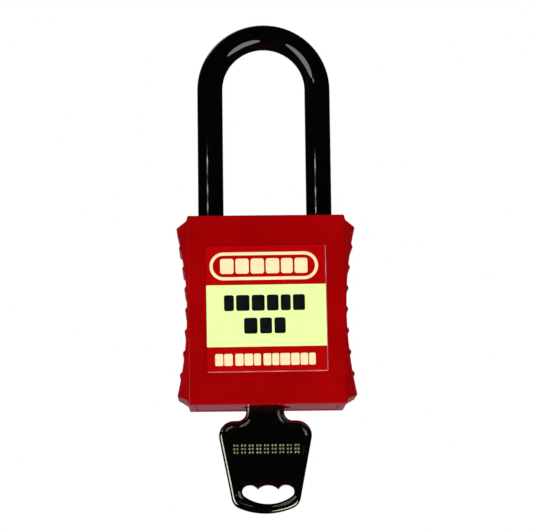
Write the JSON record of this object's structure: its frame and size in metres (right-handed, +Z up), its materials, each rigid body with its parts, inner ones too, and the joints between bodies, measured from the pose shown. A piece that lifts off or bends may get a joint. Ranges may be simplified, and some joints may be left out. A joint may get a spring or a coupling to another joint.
{
  "type": "safety padlock",
  "caption": "Slim safety padlock: eared red nylon body with ribbed sides, long black non-conductive shackle and a key in its core.",
  "frame": {"origin": "highest inside point of the shackle's bow, where the padlock hangs, on the mid-plane of the bar", "axes": "+Z up towards the crown of the shackle, -Y out of the labelled front face, +X to the right seen from the front, towards the toe leg"},
  "size_m": [0.0416, 0.0208, 0.1161],
  "materials": {
    "red_nylon": "glossy moulded nylon, red",
    "black_nylon": "glossy moulded nylon, black",
    "label_film": "laminated printed film, pale luminous field",
    "write_on_film": "matt write-on film",
    "dark_nickel": "polished dark nickel plate",
    "brass": "turned brass",
    "zinc_casting": "bare die casting",
    "zinc_steel": "zinc-plated steel",
    "spring_steel": "drawn wire",
    "ball_steel": "polished"
  },
  "bodies": {
    "lock_body": {"body_shell": "red_nylon", "bottom_cover": "red_nylon", "front_label": "label_film", "back_label": "write_on_film", "shackle_spring": "spring_steel", "heel_retainer": "zinc_steel", "guide_block": "zinc_casting", "cylinder_housing": "zinc_casting", "chamber_cover": "brass", "cylinder_screw": "zinc_steel", "driver_pins": "brass", "pin_springs": "spring_steel"},
    "shackle": {"shackle": "black_nylon"},
    "core": {"plug": "brass", "cam": "zinc_casting", "plug_clip": "spring_steel", "key_pins": "brass"},
    "key": {"key": "dark_nickel"},
    "ball_left": {"locking_ball_left": "ball_steel"},
    "ball_right": {"locking_ball_right": "ball_steel"}
  },
  "joints": [
    {"name": "key_turn", "type": "hinge", "parent": "lock_body", "child": "core", "pos_m": [0, 0, 0], "axis": [0, 0, 1], "range_deg": [0, 90]},
    {"name": "key_slide", "type": "slide", "parent": "core", "child": "key", "axis": [0, 0, -1], "range_m": [0, 0.027], "deforming": ["key_pins", "driver_pins", "pin_springs"]},
    {"name": "shackle_lift", "type": "slide", "parent": "lock_body", "child": "shackle", "axis": [0, 0, 1], "range_m": [0, 0.0125], "deforming": ["shackle_spring"]},
    {"name": "ball_left_slide", "type": "slide", "parent": "lock_body", "child": "ball_left", "axis": [1, 0, 0], "range_m": [0, 0.004]},
    {"name": "ball_right_slide", "type": "slide", "parent": "lock_body", "child": "ball_right", "axis": [-1, 0, 0], "range_m": [0, 0.004]}
  ],
  "couplings": [
    {"joint": "shackle_lift", "follows": "key_turn", "m_per_rad": 0.0079577},
    {"joint": "ball_left_slide", "follows": "key_turn", "m_per_rad": 0.0025464},
    {"joint": "ball_right_slide", "follows": "key_turn", "m_per_rad": 0.0025464}
  ]
}
